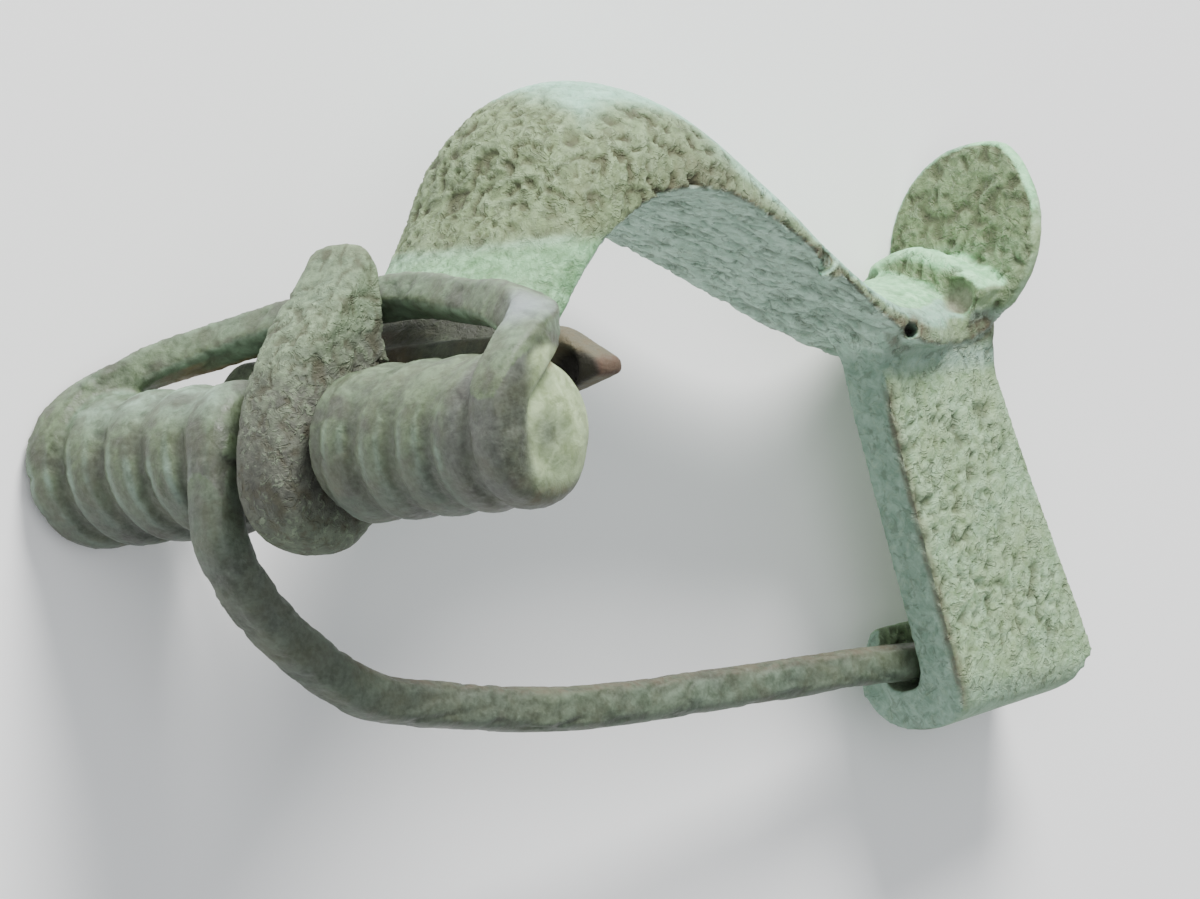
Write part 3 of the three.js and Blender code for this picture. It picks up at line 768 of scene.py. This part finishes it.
# Where things are, as shares from 0 to 1.
n = skin.normals()
x, y, z = p[:, 0], p[:, 1], p[:, 2]
wander = layers(p, 3.0, 105)
flecks = layers(p, 1.3, 109, 2)
radial = np.hypot(x, z)
near_side = step(0.5, -0.5, y)
along_pin = step(-3.6, -4.6, z)
near_end = step(-12.0, -12.9, y - 0.15 * z) * step(-1.9, -0.9, x) * step(COIL_OUTSIDE, 3.1, radial)
on_chord = (1 - on_coil) * (1 - along_pin) * step(3.5, 4.2, radial)
facet_low = on_chord * step(0.15, -0.1, n[:, 2])
crumbs = layers(p, 0.7, 171, 2)
streaks = worms(p * np.array([0.35, 1.0, 1.0]), 0.85, 181, 0.3)
coil_ridges, coil_pits = crust(p, 0.9, 191)
near_turns = from_groove(x, y, z, NEAR_COIL, NEAR_PITCH, 1)
far_turns = from_groove(x, y, z, FAR_COIL, FAR_PITCH, -1)
turns = np.where(y < 0, near_turns, far_turns)
between = on_coil * step(0.45, 0.1, turns + 0.15 * flecks) * (1 - near_end)
beside = on_coil * step(0.35, 0.55, turns + 0.1 * flecks) * step(0.8, 0.6, turns) * (1 - near_end)

# Relief, in millimetres.
height = 0.05 * layers(p, 1.8, 103) + 0.015 * crumbs - 0.1 * between * step(2.5, -1.0, z)
height -= along_pin * (0.09 * streaks + 0.03 * np.abs(crumbs))
height -= (1 - along_pin) * (1 - near_end) * 0.07 * coil_pits * step(-0.2, 0.4, wander)
height += (1 - along_pin) * (1 - near_end) * 0.03 * coil_ridges
height -= near_end * 0.12 * near_to(p, (0.4, -13.6, -0.3), 1.0)
skin.push(height)

# Marks that the material reads, painted shade and painted light among them.
# Dark patina in the grooves between turns, darkened more towards the bottom as painted shade.
grooves_and_painted_shade = 0.85 * between * (0.15 + 0.85 * step(2.8, 0.5, z)) + along_pin * streaks * 0.7
grooves_and_painted_shade = np.clip(grooves_and_painted_shade + 0.4 * coil_pits * (1 - near_end) * (1 - along_pin), 0, 1)
# Painted light: the tops of the coils and of the chord are paler, the chord's lower facet and the pin
# towards its point are lightened, and thin painted reflections run beside the grooves on the lower half of
# the coils.
facing_up = step(0.35, 0.85, n[:, 2] + 0.25 * wander)
painted_light = on_coil * facing_up * (0.1 + 0.8 * step(0.2, -0.2, near_side + 0.3 * wander))
painted_light = np.maximum(painted_light, on_chord * step(0.25, 0.7, n[:, 2] + 0.2 * wander) * 0.2)
painted_light = np.maximum(painted_light, 0.3 * facet_low + 0.25 * along_pin * step(12, 24, x))
painted_light = np.clip(painted_light + beside * step(2.0, -1.0, z) * (1 - 0.4 * near_side), 0, 1)
# Painted highlight: a pale lavender sheen on the upturned top of the chord's bend.
bend = near_to(p, (0.4, -12.2, 4.6), 2.3) * step(0.15, 0.6, n[:, 2])
cap_spot = near_to(p, (-0.2, -13.6, -0.3), 1.7)
yellow = near_end * step(-2.9, -1.0, z + 0.4 * wander) * (1 - 0.9 * cap_spot)
yellow = yellow * (0.7 + 0.3 * step(-0.4, 0.2, flecks))
# Painted shade: the lower parts of the coils and the pin, less so towards the pin's point, and the near
# coil's last turn under the chord are darker.
last_turn = on_coil * near_side * (1 - near_end) * step(-10.4, -11.2, y + 0.16 * z) * step(3.4, 2.8, z)
under = np.clip(step(1.0, -2.2, z + 0.9 * wander) * (1 - near_end) + last_turn, 0, 1)
painted_shade_and_patina = np.clip(under * (1 - 0.35 * along_pin * step(8, 18, x)), 0, 1)
first_turn = on_coil * (1 - near_side) * step(5.6, 4.6, y + 0.4 * wander) * step(1.8, -0.4, z)
purple = last_turn * 0.9 + first_turn + along_pin * step(3, -1, x) * 0.3
purple = np.clip(purple + 0.6 * near_end * cap_spot, 0, 1)
brown = along_pin * step(0.3, 0.8, n[:, 2] + 0.35 * wander)
brown += 0.5 * (1 - near_end) * step(0.2, 0.6, flecks) * step(0.4, -0.2, n[:, 2])
brown = np.clip(brown + near_end * step(-2.0, -2.9, z), 0, 1)
rust = near_to(p, (0.7, -12.9, 2.9), 0.8) + 0.4 * step(0.55, 0.7, layers(p, 1.4, 131)) * (1 - near_end)
rust += on_chord * step(6, 8, y) * step(-0.8, -0.95, n[:, 2] + 0.1 * flecks) * 0.6
rust = np.clip(rust, 0, 1)
smudge = (1 - near_end) * step(0.0, 0.3, layers(p, 2.0, 141)) * (1 - 0.6 * along_pin)
smudge = smudge * (1 - bend) * (1 - facet_low)
skin.finish({"groove": grooves_and_painted_shade, "painted_light": painted_light, "bend": bend, "yellow": yellow, "purple": purple,
             "brown": brown, "rust": rust, "painted_shade_and_patina": painted_shade_and_patina, "smudge": smudge})

# ---------------------------------------------------------------- the rod

ROD_RADIUS = 0.84
ROD_ENDS = (-12.9, 13.9)

rod_path = np.stack([np.zeros(80), np.linspace(*ROD_ENDS, 80), np.zeros(80)], -1)
rod = merged("brooch_rod", [tube(rod_path, ROD_RADIUS, (1, 0, 0))])
fuse(rod, WIRE_VOXEL)
skin = Skin(rod)
skin.push(0.03 * layers(skin.points, 1.2, 201))
skin.finish({"groove": 0.5 * worms(skin.points, 1.0, 211)})


# ---------------------------------------------------------------- materials

class Nodes:
    """Short ways to add the nodes of one material."""

    def __init__(self, name):
        self.material = bpy.data.materials.new(name)
        self.material.use_nodes = True
        self.tree = self.material.node_tree
        self.shader = self.tree.nodes["Principled BSDF"]
        self.place = self.tree.nodes.new("ShaderNodeTexCoord").outputs["Object"]

    def link(self, source, target):
        self.tree.links.new(source, target)

    def mark(self, name, amount=1):
        """One of the marks of a skin, times amount."""
        node = self.tree.nodes.new("ShaderNodeAttribute")
        node.attribute_name = name
        return node.outputs["Fac"] if amount == 1 else self.times(node.outputs["Fac"], amount)

    def noise(self, per_mm, detail=4.0, rough=0.6, warp=0.0):
        node = self.tree.nodes.new("ShaderNodeTexNoise")
        node.inputs["Scale"].default_value = per_mm / MM
        node.inputs["Detail"].default_value = detail
        node.inputs["Roughness"].default_value = rough
        node.inputs["Distortion"].default_value = warp
        self.link(self.place, node.inputs["Vector"])
        return node.outputs["Fac"]

    def spread(self, value, low, high, to_low=0.0, to_high=1.0):
        """Stretches the values from low to high over those from to_low to to_high."""
        node = self.tree.nodes.new("ShaderNodeMapRange")
        node.inputs["From Min"].default_value = low
        node.inputs["From Max"].default_value = high
        node.inputs["To Min"].default_value = to_low
        node.inputs["To Max"].default_value = to_high
        self.link(value, node.inputs["Value"])
        return node.outputs["Result"]

    def maths(self, kind, a, b):
        node = self.tree.nodes.new("ShaderNodeMath")
        node.operation = kind
        for k, value in enumerate((a, b)):
            if isinstance(value, (int, float)):
                node.inputs[k].default_value = value
            else:
                self.link(value, node.inputs[k])
        return node.outputs["Value"]

    def times(self, a, b):
        return self.maths("MULTIPLY", a, b)

    def mix(self, share, a, b):
        node = self.tree.nodes.new("ShaderNodeMix")
        node.data_type = "RGBA"
        for socket, value in (("Factor_Float", share), ("A_Color", a), ("B_Color", b)):
            target = next(i for i in node.inputs if i.identifier == socket)
            if isinstance(value, (int, float)):
                target.default_value = value
            elif isinstance(value, tuple):
                target.default_value = value + (1.0,)
            else:
                self.link(value, target)
        return next(o for o in node.outputs if o.identifier == "Result_Color")

    def coated(self, base, grain, coats):
        """Lays coats over the base: each has its share and its colour, or two that grain mixes."""
        for share, *colours in coats:
            tones = [srgb(*colour) for colour in colours]
            base = self.mix(share, base, self.mix(grain, *tones) if len(tones) == 2 else tones[0])
        return base

    def bump(self, height, strength, distance_mm):
        node = self.tree.nodes.new("ShaderNodeBump")
        node.inputs["Strength"].default_value = strength
        node.inputs["Distance"].default_value = distance_mm * MM
        self.link(height, node.inputs["Height"])
        self.link(node.outputs["Normal"], self.shader.inputs["Normal"])


def srgb(r, g, b):
    """A colour given in display values from 0 to 255."""
    return tuple((c / 255 / 12.92) if c <= 10 else ((c / 255 + 0.055) / 1.055) ** 2.4 for c in (r, g, b))


def bow_material():
    m = Nodes("bow_patina")
    grain = m.spread(m.noise(1.7, 5, 0.65, 0.6), 0.36, 0.64)
    blotch = m.spread(m.noise(0.35, 3, 0.55), 0.35, 0.65)
    pits = m.times(m.mark("rough"), m.spread(m.noise(1.5, 3, 0.6, 1.2), 0.36, 0.45, 1.0, 0.0))
    crests = m.times(m.mark("rough"), m.spread(m.noise(1.9, 3, 0.6, 1.4), 0.55, 0.63))
    plain = m.mix(grain, srgb(116, 146, 106), srgb(158, 190, 156))
    colour = m.coated(plain, grain, [
        (m.times(blotch, 0.4), (138, 150, 102)),
        # Painted light: the upturned faces of the band, made paler.
        (m.mark("painted_light"), (138, 188, 162), (170, 216, 194)),
        (m.mark("olive"), (84, 98, 66), (124, 143, 102)),
        (m.mark("mint"), (98, 140, 96), (146, 194, 150)),
        (m.mark("chalk"), (128, 190, 138), (172, 230, 180)),
        (m.mark("recess"), (112, 114, 94), (146, 150, 128)),
        # Painted shade: a cool, bluish tone on faces turned from the light.
        (m.mark("painted_cool_shade"), (112, 142, 122), (150, 178, 160)),
        # Painted light: the band's underside, which faces away from the lamps, made much paler.
        (m.mark("painted_underside_light"), (162, 198, 174), (200, 230, 210)),
        # Painted shade, with the lug's dark patina.
        (m.mark("painted_shade_and_patina"), (62, 70, 56), (96, 106, 86)),
        (m.mark("purple", 0.85), (62, 62, 55), (94, 95, 86)),
        (m.times(m.mark("brown"), m.spread(grain, 0.0, 0.8, 0.5, 0.95)), (92, 84, 64)),
        (m.mark("raised", 0.55), (152, 174, 136)),
        (m.times(crests, 0.25), (160, 180, 146)),
        (m.times(pits, 0.4), (72, 72, 50)),
        # Dark patina in pits and grooves, with painted shade in the recess and the notch.
        (m.mark("groove", 0.75), (66, 62, 42)),
        (m.mark("tip", 0.75), (78, 50, 40)),
        # Painted shadow, nearly black, in holes and gaps and under the chord.
        (m.mark("painted_deep_shadow"), (32, 28, 24)),
    ])
    m.link(colour, m.shader.inputs["Base Color"])
    m.link(m.spread(grain, 0.0, 1.0, 0.62, 0.85), m.shader.inputs["Roughness"])
    relief = m.maths("ADD", m.times(m.noise(3.2, 5, 0.65, 0.8), 0.7),
                     m.times(m.noise(1.3, 4, 0.6, 1.0), 0.8))
    relief = m.maths("SUBTRACT", m.maths("ADD", relief, m.times(crests, 0.35)), m.times(pits, 0.5))
    m.bump(relief, 0.8, 0.15)
    return m.material


def wire_material():
    m = Nodes("wire_patina")
    grain = m.spread(m.noise(1.5, 5, 0.6, 0.5), 0.36, 0.64)
    blotch = m.spread(m.noise(0.4, 3, 0.55), 0.35, 0.65)
    spots = m.spread(m.noise(0.8, 4, 0.6, 0.4), 0.5, 0.6)
    plain = m.mix(grain, srgb(60, 72, 48), srgb(100, 118, 88))
    colour = m.coated(plain, grain, [
        # Painted light: paler tops and facets, and painted reflections beside the grooves.
        (m.mark("painted_light", 0.8), (110, 138, 118), (156, 186, 172)),
        # Painted shade on the lower side of the wire.
        (m.mark("painted_shade_and_patina", 0.9), (54, 62, 52), (80, 90, 80)),
        (m.mark("purple", 0.75), (66, 64, 62), (90, 90, 86)),
        (m.mark("smudge", 0.75), (60, 58, 52)),
        (m.times(spots, 0.45), (62, 64, 50)),
        # Painted highlight: the sheen on the chord's bend.
        (m.mark("bend", 0.65), (156, 166, 176)),
        (m.mark("yellow", 0.85), (138, 156, 110), (180, 200, 154)),
        (m.times(m.mark("brown"), m.spread(grain, 0.0, 0.8, 0.2, 0.85)), (78, 66, 54)),
        (m.mark("rust", 0.75), (166, 100, 46)),
        # Dark patina in grooves, darker low on the coils as painted shade.
        (m.mark("groove", 0.75), (44, 48, 38)),
        (m.times(m.spread(m.noise(4.0, 3, 0.6), 0.4, 0.65), 0.1), (150, 166, 146)),
        (m.times(blotch, 0.12), (120, 128, 92)),
    ])
    m.link(colour, m.shader.inputs["Base Color"])
    m.link(m.spread(grain, 0.0, 1.0, 0.42, 0.68), m.shader.inputs["Roughness"])
    relief = m.maths("ADD", m.times(m.noise(3.0, 5, 0.6, 0.5), 0.6),
                     m.times(m.noise(1.1, 4, 0.6, 0.8), 0.7))
    m.bump(relief, 0.6, 0.12)
    return m.material


def rod_material():
    m = Nodes("rod_patina")
    grain = m.noise(1.5, 5, 0.6, 0.5)
    colour = m.mix(m.spread(grain, 0.35, 0.65), srgb(112, 114, 86), srgb(160, 162, 128))
    colour = m.mix(m.mark("groove"), colour, srgb(70, 70, 54))
    m.link(colour, m.shader.inputs["Base Color"])
    m.shader.inputs["Roughness"].default_value = 0.7
    m.bump(m.noise(3.0, 5, 0.6, 0.5), 0.5, 0.1)
    return m.material


# ---------------------------------------------------------------- pieces and floor

for obj, node, slot, material in (
        (bow, "bow", "bow_patina", bow_material()),
        (spring, "spring_and_pin", "wire_patina", wire_material()),
        (rod, "axis_rod", "rod_patina", rod_material())):
    obj.data.materials.clear()
    obj.data.materials.append(material)
    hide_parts(node)
    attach(obj, "root")

FLOOR_HALF = 2
floor_corners = [(FLOOR_HALF * i, FLOOR_HALF * j, 0) for i, j in ((-1, -1), (1, -1), (1, 1), (-1, 1))]
floor_mesh = bpy.data.meshes.new("floor")
floor_mesh.from_pydata(floor_corners, [], [(0, 1, 2, 3)])
floor = bpy.data.objects.new("floor", floor_mesh)
bpy.context.collection.objects.link(floor)
paper = bpy.data.materials.new("floor_paper")
paper.use_nodes = True
paper_shader = paper.node_tree.nodes["Principled BSDF"]
paper_shader.inputs["Base Color"].default_value = (0.95, 0.95, 0.95, 1)
paper_shader.inputs["Roughness"].default_value = 0.9
floor_mesh.materials.append(paper)
